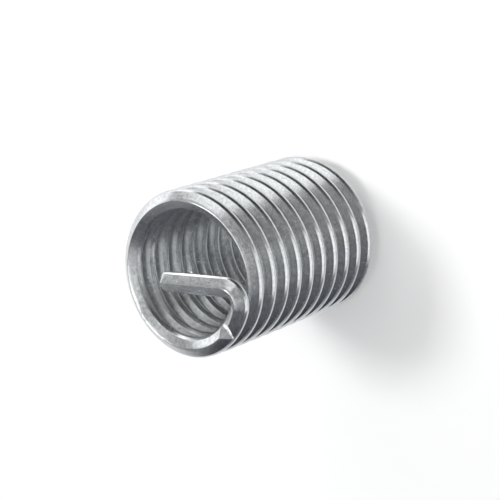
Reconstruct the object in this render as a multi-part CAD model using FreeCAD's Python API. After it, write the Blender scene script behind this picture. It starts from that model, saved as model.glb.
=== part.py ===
import FreeCAD, Part
import math
import os

# Helical thread insert: one wire of diamond section, wound as a right-hand coil.
# The coil stands on its plain end, its axis is Z, and the tang crosses the bore at the top.
# All lengths are in mm and all angles in degrees.

# Wire section, measured in a plane that holds the coil axis
wire_width = 1.18
outer_crest_width = 0.42
inner_crest_width = 0.44
flank_angle = 30.0

# Coil in its free state
outer_diameter = 10.32
pitch = 1.24
turns_below_notch = 10.3

# Turn at the tang, wound a little smaller so that the insert starts easily in its hole
lead_turns = 1.0
lead_drop = 0.05
levelling_turns = 0.12

# Break-off notch across the upper ridge of the wire
notch_angle = -38.0
notch_width = 1.18
notch_depth = 0.435

# Bend and tang
notch_to_bend_angle = 21.8
bend_radius = 0.91
bend_angle = 113.0
tang_length = 4.79

# How finely the coil is divided
sectors_per_turn = 13
lead_stations = 48

# Sizes worked out from the ones above
outer_radius = outer_diameter / 2
flank_slope = math.tan(math.radians(flank_angle))
ridge_radius = outer_radius - (wire_width - outer_crest_width) / 2 / flank_slope
inner_radius = ridge_radius - (wire_width - inner_crest_width) / 2 / flank_slope
bend_start = notch_angle + notch_to_bend_angle
turns_below_bend = turns_below_notch + notch_to_bend_angle / 360
body_turns = turns_below_bend - lead_turns
body_height = pitch * body_turns
lead_height = pitch * (lead_turns - levelling_turns / 2)
body_bottom = wire_width / 2
bend_height = body_bottom + body_height + lead_height

# Corners of the section as (radius, height above its middle), once round
section_corners = [
    (outer_radius, outer_crest_width / 2),
    (ridge_radius, wire_width / 2),
    (inner_radius, inner_crest_width / 2),
    (inner_radius, -inner_crest_width / 2),
    (ridge_radius, -wire_width / 2),
    (outer_radius, -outer_crest_width / 2),
]
corner_pairs = list(zip(section_corners, section_corners[1:] + section_corners[:1]))
up = FreeCAD.Vector(0, 0, 1)
centre = FreeCAD.Vector(0, 0, 0)


def around(radius, angle, height):
    """The point at this radius, angle and height around the coil axis."""
    turned = math.radians(angle)
    return FreeCAD.Vector(radius * math.cos(turned), radius * math.sin(turned), height)


def line_on(cylinder, start, end):
    """The edge that is straight on the unrolled cylinder, from one (angle, height) to another."""
    first = FreeCAD.Base.Vector2d(math.radians(start[0]), start[1])
    last = FreeCAD.Base.Vector2d(math.radians(end[0]), end[1])
    return Part.Geom2d.Line2dSegment(first, last).toShape(cylinder)


def cylinder_of(radius):
    """The endless cylinder of this radius on the coil axis."""
    cylinder = Part.Cylinder()
    cylinder.Radius = radius
    return cylinder


def crest_strip(radius, low, high, sweep, rise):
    """One sector of a crest land, a slanting strip of a true cylinder."""
    cylinder = cylinder_of(radius)
    corners = [(0, low), (sweep, low + rise), (sweep, high + rise), (0, high)]
    sides = zip(corners, corners[1:] + corners[:1])
    edges = [line_on(cylinder, start, end) for start, end in sides]
    return Part.Face(cylinder, Part.Wire(edges))


def helix_through(corner, sweep, rise):
    """The helix that one corner of the section follows over a sector."""
    radius, height = corner
    return line_on(cylinder_of(radius), (0, height), (sweep, height + rise))


def sector_face(first, second, sweep, rise):
    """The face between two neighbouring corners of the section over a sector."""
    if first[0] == second[0]:
        low, high = sorted((first[1], second[1]))
        return crest_strip(first[0], low, high, sweep, rise)
    return Part.makeRuledSurface(
        helix_through(first, sweep, rise), helix_through(second, sweep, rise)
    )


def body_faces():
    """The plain coil below the lead turn, as one sector repeated along the helix."""
    sector_count = math.ceil(body_turns * sectors_per_turn)
    sweep = 360 * body_turns / sector_count
    rise = body_height / sector_count
    sector = [sector_face(first, second, sweep, rise) for first, second in corner_pairs]
    body_start = bend_start - 360 * turns_below_bend
    faces = []
    for index in range(sector_count):
        for face in sector:
            placed = face.copy()
            placed.rotate(centre, up, body_start + index * sweep)
            placed.translate(up * (body_bottom + index * rise))
            faces.append(placed)
    return faces


def lead_drop_at(turns_left):
    """How much smaller than the coil the wire's radius is, this many turns before the bend."""
    return lead_drop * (1 - turns_left / lead_turns) ** 2


def lead_height_at(turns_left):
    """The height of the wire's middle, which levels out just before the bend."""
    if turns_left < levelling_turns:
        return bend_height - pitch * turns_left**2 / levelling_turns / 2
    return bend_height - pitch * (turns_left - levelling_turns / 2)


def lead_curve(corner):
    """The smooth curve that one corner of the section follows over the lead turn."""
    radius, height = corner
    points = []
    for station in range(lead_stations + 1):
        turns_left = lead_turns * (1 - station / lead_stations)
        angle = bend_start - 360 * turns_left
        narrowed = radius - lead_drop_at(turns_left)
        points.append(around(narrowed, angle, height + lead_height_at(turns_left)))
    curve = Part.BSplineCurve()
    spacing = [station / lead_stations for station in range(lead_stations + 1)]
    curve.interpolate(Points=points, Parameters=spacing)
    return curve.toShape()


def lead_faces():
    """The turn nearest the tang."""
    faces = []
    for first, second in corner_pairs:
        faces.append(Part.makeRuledSurface(lead_curve(first), lead_curve(second)))
    return faces


def section_outline(drop, angle, height):
    """The closed outline of the wire's section, upright at this angle round the coil."""
    points = [around(r - drop, angle, height + z) for r, z in section_corners]
    return Part.makePolygon(points + points[:1])


def bend_and_tang_faces():
    """The flat bend, the straight tang that crosses the bore, and the tang's square tip."""
    bend_centre = around(ridge_radius - lead_drop - bend_radius, bend_start, bend_height)
    outline = section_outline(lead_drop, bend_start, bend_height)
    bend = outline.revolve(bend_centre, up, bend_angle)
    outline.rotate(bend_centre, up, bend_angle)
    run = around(tang_length, bend_start + bend_angle + 90, 0)
    tang = outline.extrude(run)
    outline.translate(run)
    return bend.Faces + tang.Faces + [Part.Face(outline)]


def wire_before_notching():
    """The whole wire as one solid, closed by its plain end and the tip of its tang."""
    plain_end = section_outline(0, bend_start - 360 * turns_below_bend, body_bottom)
    faces = body_faces() + lead_faces() + bend_and_tang_faces() + [Part.Face(plain_end)]
    skin = Part.makeCompound(faces)
    skin.sewShape()
    return Part.Solid(skin.Shells[0])


def notch_cutter():
    """A wedge whose edge lies across the wire, on a radius of the coil."""
    turns_left = notch_to_bend_angle / 360
    floor = lead_height_at(turns_left) + wire_width / 2 - notch_depth
    # The wedge stands proud of the ridge by the notch's own depth
    half_width = notch_width
    top = floor + notch_depth * 2
    start = inner_radius - wire_width / 2
    reach = outer_radius - inner_radius + wire_width
    corners = [(0, floor), (half_width, top), (-half_width, top)]
    points = [FreeCAD.Vector(start, y, z) for y, z in corners]
    wedge = Part.Face(Part.makePolygon(points + points[:1])).extrude(
        FreeCAD.Vector(reach, 0, 0)
    )
    wedge.rotate(centre, up, notch_angle)
    return wedge


thread_insert = wire_before_notching().cut(notch_cutter())
os.makedirs("parts", exist_ok=True)
thread_insert.exportStep("parts/thread_insert.step")
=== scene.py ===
import bmesh
import bpy
import math
from mathutils import Matrix, Vector


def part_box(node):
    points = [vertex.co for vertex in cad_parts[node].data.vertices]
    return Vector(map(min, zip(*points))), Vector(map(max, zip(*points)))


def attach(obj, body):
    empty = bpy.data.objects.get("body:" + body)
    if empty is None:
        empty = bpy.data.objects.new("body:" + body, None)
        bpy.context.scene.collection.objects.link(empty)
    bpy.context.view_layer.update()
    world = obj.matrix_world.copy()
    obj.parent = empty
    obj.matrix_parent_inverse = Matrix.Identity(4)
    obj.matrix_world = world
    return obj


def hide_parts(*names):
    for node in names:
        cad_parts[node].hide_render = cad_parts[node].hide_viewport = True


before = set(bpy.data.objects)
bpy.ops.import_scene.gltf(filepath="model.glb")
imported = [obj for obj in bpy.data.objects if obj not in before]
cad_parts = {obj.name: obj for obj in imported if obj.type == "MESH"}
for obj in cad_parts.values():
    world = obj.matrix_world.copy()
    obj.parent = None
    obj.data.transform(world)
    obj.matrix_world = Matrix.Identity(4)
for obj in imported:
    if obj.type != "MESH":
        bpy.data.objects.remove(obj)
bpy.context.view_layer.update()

MM = 0.001
QUARTER_TURN = math.radians(90)

# The solid's wire section, measured in a plane that holds the coil axis
WIRE_WIDTH = 1.18 * MM
OUTER_CREST_WIDTH = 0.42 * MM
INNER_CREST_WIDTH = 0.44 * MM
FLANK_SLOPE = math.tan(math.radians(30))

# The crests as drawn here: this steep on both sides, and this far from their middle to their edges
CREST_SLOPE = math.radians(36)
OUTER_CREST_REACH = 0.21 * MM
INNER_CREST_REACH = 0.26 * MM

# Radii that round the section's corners, the cut ends and the bottom of the notch
CREST_ROUNDING = 0.14 * MM
CREST_EDGE_ROUNDING = 0.06 * MM
RIDGE_ROUNDING = 0.05 * MM
END_ROUNDING = 0.03 * MM
NOTCH_ROUNDING = 0.04 * MM

# The coil, as in the solid that it stands for
PITCH = 1.24 * MM
TURNS_BELOW_NOTCH = 10.3
LEAD_TURNS = 1.0
LEAD_DROP = 0.05 * MM
LEVELLING_TURNS = 0.12
NOTCH_ANGLE = -38.0
NOTCH_WIDTH = 1.18 * MM
NOTCH_DEPTH = 0.435 * MM
NOTCH_TO_BEND_ANGLE = 21.8
BEND_RADIUS = 0.91 * MM
BEND_ANGLE = 113.0
TANG_LENGTH = 4.79 * MM

# How finely the wire is drawn
STATIONS_PER_TURN = 120
BEND_STATIONS = 40
TANG_STATIONS = 24
ROUNDING_STEPS = 4
FLANK_STEPS = 3
END_STEPS = 3
SHARP_ANGLE = math.radians(35)

# Steel. Its tones are (place in the bloom's noise, red, green, blue), and scales are per millimetre
STEEL_TONES = [(0.34, 0.53, 0.55, 0.565), (0.66, 0.72, 0.735, 0.745)]
SURFACE_ROUGHNESS = (0.22, 0.28)
BLOOM_SCALE = 3.4
BLOOM_DETAIL = 7.0
BLOOM_ROUGHNESS = 0.72
GRAIN_SCALE = 9.0
GRAIN_DETAIL = 1.0
GRAIN_STRENGTH = (0.92, 1.08)
LINE_SCALE = 1.0
LINE_STRETCH = (14.0, 1.6, 1.0)
LINE_DETAIL = 3.0
LINE_STRENGTH = 0.3
LINE_DEPTH = 0.004 * MM
NOISE_ROUGHNESS = 0.5
USUAL_NOISE = (0.3, 0.7)

# Floor
FLOOR_REACH = 600 * MM
FLOOR_COLOUR = (0.92, 0.92, 0.92, 1)
FLOOR_ROUGHNESS = 0.9
FLOOR_GLOSS = 0.1
FLOOR_WHITENING = 0.23
WHITE = (1, 1, 1, 1)

# Surround, as (place, red, green, blue), where place is 0 straight towards -Y and 1 towards +Y
SURROUND = [
    (0.03, 0.04, 0.04, 0.05),
    (0.12, 0.14, 0.145, 0.16),
    (0.45, 0.12, 0.12, 0.125),
    (0.78, 0.37, 0.37, 0.37),
    (0.92, 0.05, 0.05, 0.05),
]

# Soft boxes, as (name, (turn, rise), (width, height), radiance), with all angles in degrees
LAMP_DISTANCE = 250 * MM
SOFT_BOXES = [
    ("key_box", (-22, 14), (14, 14), 21.0),
    ("front_box", (2, 3), (22, 28), 3.2),
    ("front_right_box", (22, -8), (18, 34), 0.6),
    ("left_box", (-77, 10), (24, 42), 1.3),
    ("upper_left_box", (-98, 45), (38, 30), 1.7),
    ("top_box", (-33, 51), (54, 18), 1.5),
    ("lower_left_box", (-50, -52), (56, 28), 0.2),
    ("right_box", (72, -6), (16, 54), 1.6),
]

# Camera, which looks down the coil axis from the tang end and is then turned and tilted
# round a point on the axis
CAMERA_TURN = math.radians(38.5226)
CAMERA_TILT = math.radians(15.8303)
CAMERA_PIVOT_HEIGHT = 10.280 * MM
CAMERA_OFFSET = Vector((2.035, 0.8697, 98.567)) * MM
CAMERA_LENS = 115.861
CAMERA_SENSOR_WIDTH = 36.0
NEAREST_SEEN = 1 * MM
FARTHEST_SEEN = 10000 * MM

# Sizes worked out from the ones above and from the frame
lowest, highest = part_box("thread_insert")
outer_radius = (highest[0] - lowest[0]) / 2
ridge_radius = outer_radius - (WIRE_WIDTH - OUTER_CREST_WIDTH) / 2 / FLANK_SLOPE
inner_radius = ridge_radius - (WIRE_WIDTH - INNER_CREST_WIDTH) / 2 / FLANK_SLOPE
bend_start = NOTCH_ANGLE + NOTCH_TO_BEND_ANGLE
turns_below_bend = TURNS_BELOW_NOTCH + NOTCH_TO_BEND_ANGLE / 360
bend_height = highest[2] - WIRE_WIDTH / 2


def add_object(name, data):
    """A new object in the scene."""
    made = bpy.data.objects.new(name, data)
    bpy.context.scene.collection.objects.link(made)
    return made


def finished_mesh(name, mesh):
    """The mesh of this name, with its faces outward. The working mesh is freed."""
    bmesh.ops.recalc_face_normals(mesh, faces=mesh.faces)
    made = bpy.data.meshes.new(name)
    mesh.to_mesh(made)
    mesh.free()
    return made


def rounded_corner(before, corner, after, rounding):
    """Points of the arc that rounds a corner, from the side before it to the side after it."""
    inward = (before - corner).normalized()
    outward = (after - corner).normalized()
    half_angle = inward.angle(outward) / 2
    setback = rounding / math.tan(half_angle)
    centre = corner + (inward + outward).normalized() * (rounding / math.sin(half_angle))
    start = corner + inward * setback - centre
    end = corner + outward * setback - centre
    sweep = start.angle_signed(end)
    points = []
    for step in range(ROUNDING_STEPS + 1):
        turned = Matrix.Rotation(-sweep * step / ROUNDING_STEPS, 2) @ start
        points.append(centre + turned)
    return points


def section_corners():
    """The corners of the section as (radius, height above its middle, rounding), once round."""
    outer_fall = OUTER_CREST_REACH * math.tan(CREST_SLOPE)
    inner_fall = INNER_CREST_REACH * math.tan(CREST_SLOPE)
    # The rounding cuts this much off a crest's point, which leaves its top on the solid's crest
    cut_back = CREST_ROUNDING * (1 / math.cos(CREST_SLOPE) - 1)
    outer_top = outer_radius + cut_back
    inner_top = inner_radius - cut_back
    return [
        (outer_top, 0, CREST_ROUNDING),
        (outer_top - outer_fall, OUTER_CREST_REACH, CREST_EDGE_ROUNDING),
        (ridge_radius, WIRE_WIDTH / 2, RIDGE_ROUNDING),
        (inner_top + inner_fall, INNER_CREST_REACH, CREST_EDGE_ROUNDING),
        (inner_top, 0, CREST_ROUNDING),
        (inner_top + inner_fall, -INNER_CREST_REACH, CREST_EDGE_ROUNDING),
        (ridge_radius, -WIRE_WIDTH / 2, RIDGE_ROUNDING),
        (outer_top - outer_fall, -OUTER_CREST_REACH, CREST_EDGE_ROUNDING),
    ]


def section_points():
    """The wire's rounded section as (radius, height above its middle), once round."""
    corners = section_corners()
    places = [Vector((radius, height)) for radius, height, _ in corners]
    arcs = []
    for index, (_, _, rounding) in enumerate(corners):
        before = places[index - 1]
        after = places[(index + 1) % len(places)]
        arcs.append(rounded_corner(before, places[index], after, rounding))
    points = []
    for index, arc in enumerate(arcs):
        following = arcs[(index + 1) % len(arcs)][0]
        points += arc
        for step in range(1, FLANK_STEPS):
            points.append(arc[-1].lerp(following, step / FLANK_STEPS))
    return points


def drop_at(turns_left):
    """How much smaller than the coil the wire's radius is, this many turns before the bend."""
    return LEAD_DROP * max(0, 1 - turns_left / LEAD_TURNS) ** 2


def height_at(turns_left):
    """The height of the wire's middle, which levels out just before the bend."""
    if turns_left < LEVELLING_TURNS:
        return bend_height - PITCH * turns_left**2 / LEVELLING_TURNS / 2
    return bend_height - PITCH * (turns_left - LEVELLING_TURNS / 2)


def coil_place(turns_left):
    """The matrix that puts the section on the coil."""
    turned = Matrix.Rotation(math.radians(bend_start - 360 * turns_left), 4, "Z")
    moved = Matrix.Translation((-drop_at(turns_left), 0, height_at(turns_left)))
    return turned @ moved


def bend_place(part):
    """The matrix that puts the section on the bend, from 0 at the coil to 1 at the tang."""
    centre = Vector((ridge_radius - LEAD_DROP - BEND_RADIUS, 0, 0))
    swing = (
        Matrix.Translation(centre)
        @ Matrix.Rotation(math.radians(BEND_ANGLE) * part, 4, "Z")
        @ Matrix.Translation(-centre)
    )
    turned = Matrix.Rotation(math.radians(bend_start), 4, "Z")
    moved = Matrix.Translation((-LEAD_DROP, 0, bend_height))
    return turned @ swing @ moved


def tang_place(run):
    """The matrix that puts the section on the tang, this far past the bend."""
    heading = math.radians(bend_start + BEND_ANGLE + 90)
    along = Vector((math.cos(heading), math.sin(heading), 0))
    return Matrix.Translation(along * run) @ bend_place(1)


def wire_places():
    """Every station along the wire as (place, inset, distance along the wire)."""
    coil_length = turns_below_bend * math.tau * ridge_radius
    bend_length = math.radians(BEND_ANGLE) * BEND_RADIUS
    bend_end = coil_length + bend_length
    station_count = round(turns_below_bend * STATIONS_PER_TURN)
    first_turns = END_ROUNDING / (math.tau * ridge_radius)
    places = []
    for step in range(END_STEPS):
        swing = QUARTER_TURN * step / END_STEPS
        turns_left = turns_below_bend - first_turns * (1 - math.cos(swing))
        places.append((coil_place(turns_left), END_ROUNDING * (1 - math.sin(swing)), 0))
    for station in range(station_count):
        part = station / station_count
        turns_left = (turns_below_bend - first_turns) * (1 - part)
        places.append((coil_place(turns_left), 0, coil_length * part))
    for station in range(BEND_STATIONS):
        part = station / BEND_STATIONS
        places.append((bend_place(part), 0, coil_length + bend_length * part))
    for station in range(TANG_STATIONS + 1):
        run = (TANG_LENGTH - END_ROUNDING) * station / TANG_STATIONS
        places.append((tang_place(run), 0, bend_end + run))
    for step in range(1, END_STEPS + 1):
        swing = QUARTER_TURN * step / END_STEPS
        run = TANG_LENGTH - END_ROUNDING * (1 - math.sin(swing))
        places.append((tang_place(run), END_ROUNDING * (1 - math.cos(swing)), bend_end + run))
    return places


def inset_section(points, inset):
    """The section drawn in towards its middle, as it is where a cut end is rounded."""
    middle = Vector((ridge_radius, 0))
    shrink = 1 - inset / (WIRE_WIDTH / 2)
    return [middle + (point - middle) * shrink for point in points]


def ways_round(points):
    """The way round the section to each of its points and back to the first, in millimetres."""
    ways = [0.0]
    for index, point in enumerate(points):
        span = (points[(index + 1) % len(points)] - point).length
        ways.append(ways[-1] + span / MM)
    return ways


def add_band(mesh, uv, first, second, ways):
    """The faces between two rings of vertices, each ring given with its way along the wire."""
    ring, along = first
    next_ring, next_along = second
    for index in range(len(ring)):
        following = (index + 1) % len(ring)
        corners = [
            (ring[index], (along, ways[index])),
            (next_ring[index], (next_along, ways[index])),
            (next_ring[following], (next_along, ways[index + 1])),
            (ring[following], (along, ways[index + 1])),
        ]
        face = mesh.faces.new([vertex for vertex, _ in corners])
        for loop, (_, place) in zip(face.loops, corners):
            loop[uv].uv = place


def add_cap(mesh, uv, ring, along):
    """The face that closes one end of the wire."""
    cap = mesh.faces.new(ring)
    for loop in cap.loops:
        loop[uv].uv = (along + loop.vert.co.x / MM, loop.vert.co.z / MM)


def wire_mesh():
    """The whole wire before its notch, with a map that runs along and round it in millimetres."""
    points = section_points()
    ways = ways_round(points)
    mesh = bmesh.new()
    uv = mesh.loops.layers.uv.new("wire")
    rings = []
    for place, inset, length in wire_places():
        section = inset_section(points, inset)
        ring = [mesh.verts.new(place @ Vector((r, 0, z))) for r, z in section]
        rings.append((ring, length / MM))
    for first, second in zip(rings, rings[1:]):
        add_band(mesh, uv, first, second, ways)
    for ring, along in (rings[0], rings[-1]):
        add_cap(mesh, uv, ring, along)
    return finished_mesh("thread_wire", mesh)


def notch_profile():
    """The outline of the notch's wedge as (distance across the notch, height), once round."""
    turns_left = NOTCH_TO_BEND_ANGLE / 360
    floor = height_at(turns_left) + WIRE_WIDTH / 2 - NOTCH_DEPTH
    # The wedge stands proud of the ridge by the notch's own depth
    top = floor + 2 * NOTCH_DEPTH
    right_top = Vector((NOTCH_WIDTH, top))
    left_top = Vector((-NOTCH_WIDTH, top))
    bottom = rounded_corner(left_top, Vector((0, floor)), right_top, NOTCH_ROUNDING)
    return [right_top, left_top] + bottom


def notch_cutter():
    """A wedge whose edge lies across the wire, on a radius of the coil."""
    profile = notch_profile()
    mesh = bmesh.new()
    uv = mesh.loops.layers.uv.new("wire")
    turned = Matrix.Rotation(math.radians(NOTCH_ANGLE), 4, "Z")
    near = inner_radius - WIRE_WIDTH / 2
    far = outer_radius + WIRE_WIDTH / 2
    near_ring = [mesh.verts.new(turned @ Vector((near, y, z))) for y, z in profile]
    far_ring = [mesh.verts.new(turned @ Vector((far, y, z))) for y, z in profile]
    mesh.faces.new(near_ring)
    mesh.faces.new(far_ring)
    for index in range(len(profile)):
        following = (index + 1) % len(profile)
        mesh.faces.new(
            [near_ring[index], near_ring[following], far_ring[following], far_ring[index]]
        )
    for face in mesh.faces:
        for loop in face.loops:
            loop[uv].uv = (loop.vert.co.x / MM, loop.vert.co.y / MM)
    return finished_mesh("notch_cutter", mesh)


def cut_notch(wire):
    """Takes the notch out of the wire for good."""
    cutter = add_object("notch_cutter", notch_cutter())
    cut = wire.modifiers.new("notch", "BOOLEAN")
    cut.operation = "DIFFERENCE"
    cut.solver = "EXACT"
    cut.object = cutter
    bpy.context.view_layer.update()
    evaluated = wire.evaluated_get(bpy.context.evaluated_depsgraph_get())
    wire_cut = bpy.data.meshes.new_from_object(evaluated)
    wire.modifiers.remove(cut)
    wire.data = wire_cut
    bpy.data.objects.remove(cutter)


def add_noise(tree, place, scale, detail, roughness):
    """The value of a noise at this place."""
    noise = tree.nodes.new("ShaderNodeTexNoise")
    noise.inputs["Scale"].default_value = scale
    noise.inputs["Detail"].default_value = detail
    noise.inputs["Roughness"].default_value = roughness
    tree.links.new(place, noise.inputs["Vector"])
    return noise.outputs["Fac"]


def add_range(tree, value, before, after):
    """The value carried over from one range to another."""
    carried = tree.nodes.new("ShaderNodeMapRange")
    carried.inputs["From Min"].default_value = before[0]
    carried.inputs["From Max"].default_value = before[1]
    carried.inputs["To Min"].default_value = after[0]
    carried.inputs["To Max"].default_value = after[1]
    tree.links.new(value, carried.inputs["Value"])
    return carried.outputs["Result"]


def add_fade(tree, value, stops):
    """The colour that a value picks between stops of (place, red, green, blue)."""
    fade = tree.nodes.new("ShaderNodeValToRGB")
    elements = fade.color_ramp.elements
    while len(elements) < len(stops):
        elements.new(1.0)
    for element, (place, red, green, blue) in zip(elements, stops):
        element.position = place
        element.color = (red, green, blue, 1)
    tree.links.new(value, fade.inputs["Fac"])
    return fade.outputs["Color"]


def add_larger(tree, first, second):
    """The larger of two values."""
    larger = tree.nodes.new("ShaderNodeMath")
    larger.operation = "MAXIMUM"
    tree.links.new(first, larger.inputs[0])
    tree.links.new(second, larger.inputs[1])
    return larger.outputs["Value"]


def add_steel_colour(tree, shader, along, bloom):
    """The steel's mottled tone, with a fine grain in it."""
    tone = add_fade(tree, bloom, STEEL_TONES)
    grain = add_noise(tree, along, GRAIN_SCALE, GRAIN_DETAIL, NOISE_ROUGHNESS)
    strength = add_range(tree, grain, USUAL_NOISE, GRAIN_STRENGTH)
    grained = tree.nodes.new("ShaderNodeVectorMath")
    grained.operation = "SCALE"
    tree.links.new(tone, grained.inputs["Vector"])
    tree.links.new(strength, grained.inputs["Scale"])
    tree.links.new(grained.outputs["Vector"], shader.inputs["Base Color"])


def add_steel_lines(tree, shader, along):
    """The steel's faint lines, which run across the wire."""
    stretch = tree.nodes.new("ShaderNodeMapping")
    stretch.inputs["Scale"].default_value = LINE_STRETCH
    tree.links.new(along, stretch.inputs["Vector"])
    lines = add_noise(
        tree, stretch.outputs["Vector"], LINE_SCALE, LINE_DETAIL, NOISE_ROUGHNESS
    )
    relief = tree.nodes.new("ShaderNodeBump")
    relief.inputs["Strength"].default_value = LINE_STRENGTH
    relief.inputs["Distance"].default_value = LINE_DEPTH
    tree.links.new(lines, relief.inputs["Height"])
    tree.links.new(relief.outputs["Normal"], shader.inputs["Normal"])


def steel():
    """Satin stainless steel with a mottled bloom, a fine grain and faint lines."""
    material = bpy.data.materials.new("satin_steel")
    material.use_nodes = True
    tree = material.node_tree
    shader = tree.nodes["Principled BSDF"]
    shader.inputs["Metallic"].default_value = 1.0
    wire_map = tree.nodes.new("ShaderNodeUVMap")
    wire_map.uv_map = "wire"
    along = wire_map.outputs["UV"]
    bloom = add_noise(tree, along, BLOOM_SCALE, BLOOM_DETAIL, BLOOM_ROUGHNESS)
    roughness = add_range(tree, bloom, USUAL_NOISE, SURFACE_ROUGHNESS)
    tree.links.new(roughness, shader.inputs["Roughness"])
    add_steel_colour(tree, shader, along, bloom)
    add_steel_lines(tree, shader, along)
    return material


def add_wire():
    """The insert itself, in place of its plain solid."""
    wire = add_object("helical_wire", wire_mesh())
    cut_notch(wire)
    for polygon in wire.data.polygons:
        polygon.use_smooth = True
    wire.data.set_sharp_from_angle(angle=SHARP_ANGLE)
    flats_first = wire.modifiers.new("flats_first", "WEIGHTED_NORMAL")
    flats_first.keep_sharp = True
    wire.data.materials.clear()
    wire.data.materials.append(steel())
    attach(wire, "root")
    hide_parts("thread_insert")


def add_whitening(tree, shader):
    """Lifts the floor to white where it is seen, and leaves the light that it casts as it is."""
    ray = tree.nodes.new("ShaderNodeLightPath")
    seen = add_larger(tree, ray.outputs["Is Camera Ray"], ray.outputs["Is Glossy Ray"])
    seen = add_larger(tree, seen, ray.outputs["Is Transmission Ray"])
    whitening = tree.nodes.new("ShaderNodeMath")
    whitening.operation = "MULTIPLY"
    whitening.inputs[1].default_value = FLOOR_WHITENING
    tree.links.new(seen, whitening.inputs[0])
    tree.links.new(whitening.outputs["Value"], shader.inputs["Emission Strength"])
    shader.inputs["Emission Color"].default_value = WHITE


def paper():
    """Plain white paper."""
    material = bpy.data.materials.new("floor_paper")
    material.use_nodes = True
    tree = material.node_tree
    shader = tree.nodes["Principled BSDF"]
    shader.inputs["Base Color"].default_value = FLOOR_COLOUR
    shader.inputs["Roughness"].default_value = FLOOR_ROUGHNESS
    shader.inputs["Specular IOR Level"].default_value = FLOOR_GLOSS
    add_whitening(tree, shader)
    return material


def add_floor():
    """A plain white floor that keeps the insert's shadow."""
    corners = [
        (-FLOOR_REACH, -FLOOR_REACH, 0),
        (FLOOR_REACH, -FLOOR_REACH, 0),
        (FLOOR_REACH, FLOOR_REACH, 0),
        (-FLOOR_REACH, FLOOR_REACH, 0),
    ]
    mesh = bpy.data.meshes.new("floor")
    mesh.from_pydata(corners, [], [(0, 1, 2, 3)])
    mesh.materials.append(paper())
    floor = add_object("floor", mesh)


def toward(turn, rise):
    """The direction this far from the coil axis towards +X, then up towards +Y, in degrees."""
    turn = math.radians(turn)
    rise = math.radians(rise)
    return Vector(
        (math.sin(turn) * math.cos(rise), math.sin(rise), math.cos(turn) * math.cos(rise))
    )


def lamp_side(spread):
    """The length of a lamp's side that fills this many degrees as seen from the insert."""
    return 2 * LAMP_DISTANCE * math.tan(math.radians(spread / 2))


def add_lamp(name, direction, spread, radiance):
    """A soft box of this angular width and height, in degrees, that faces the insert."""
    light = bpy.data.lights.new(name, "AREA")
    light.shape = "RECTANGLE"
    light.size = lamp_side(spread[0])
    light.size_y = lamp_side(spread[1])
    light.energy = radiance * math.pi * light.size * light.size_y
    lamp = add_object(name, light)
    back = toward(*direction)
    right = Vector((0, 1, 0)).cross(back).normalized()
    facing = Matrix((right, back.cross(right), back)).transposed()
    middle = Vector((0, 0, (lowest[2] + highest[2]) / 2))
    lamp.matrix_world = Matrix.Translation(middle + back * LAMP_DISTANCE) @ facing.to_4x4()
    lamp.visible_camera = False


def add_surround():
    """A plain surround that is darker towards -Y and +Y than between them."""
    world = bpy.data.worlds.new("studio")
    bpy.context.scene.world = world
    world.use_nodes = True
    tree = world.node_tree
    heading = tree.nodes.new("ShaderNodeTexCoord")
    split = tree.nodes.new("ShaderNodeSeparateXYZ")
    tree.links.new(heading.outputs["Generated"], split.inputs["Vector"])
    # A direction's Y runs from -1 to 1, and a place in the surround from 0 to 1
    place = add_range(tree, split.outputs["Y"], (-1.0, 1.0), (0.0, 1.0))
    colour = add_fade(tree, place, SURROUND)
    tree.links.new(colour, tree.nodes["Background"].inputs["Color"])


def add_camera():
    """The photograph's view of the insert."""
    lens = bpy.data.cameras.new("camera")
    lens.lens = CAMERA_LENS
    lens.sensor_width = CAMERA_SENSOR_WIDTH
    lens.clip_start = NEAREST_SEEN
    lens.clip_end = FARTHEST_SEEN
    camera = add_object("camera", lens)
    facing = Matrix.Rotation(CAMERA_TURN, 4, "Y") @ Matrix.Rotation(-CAMERA_TILT, 4, "X")
    pivot = Vector((0, 0, CAMERA_PIVOT_HEIGHT))
    camera.matrix_world = Matrix.Translation(pivot) @ facing @ Matrix.Translation(CAMERA_OFFSET)
    bpy.context.scene.camera = camera


bpy.context.scene.view_settings.view_transform = "Standard"
add_wire()
add_floor()
add_surround()
for name, direction, spread, radiance in SOFT_BOXES:
    add_lamp(name, direction, spread, radiance)
add_camera()
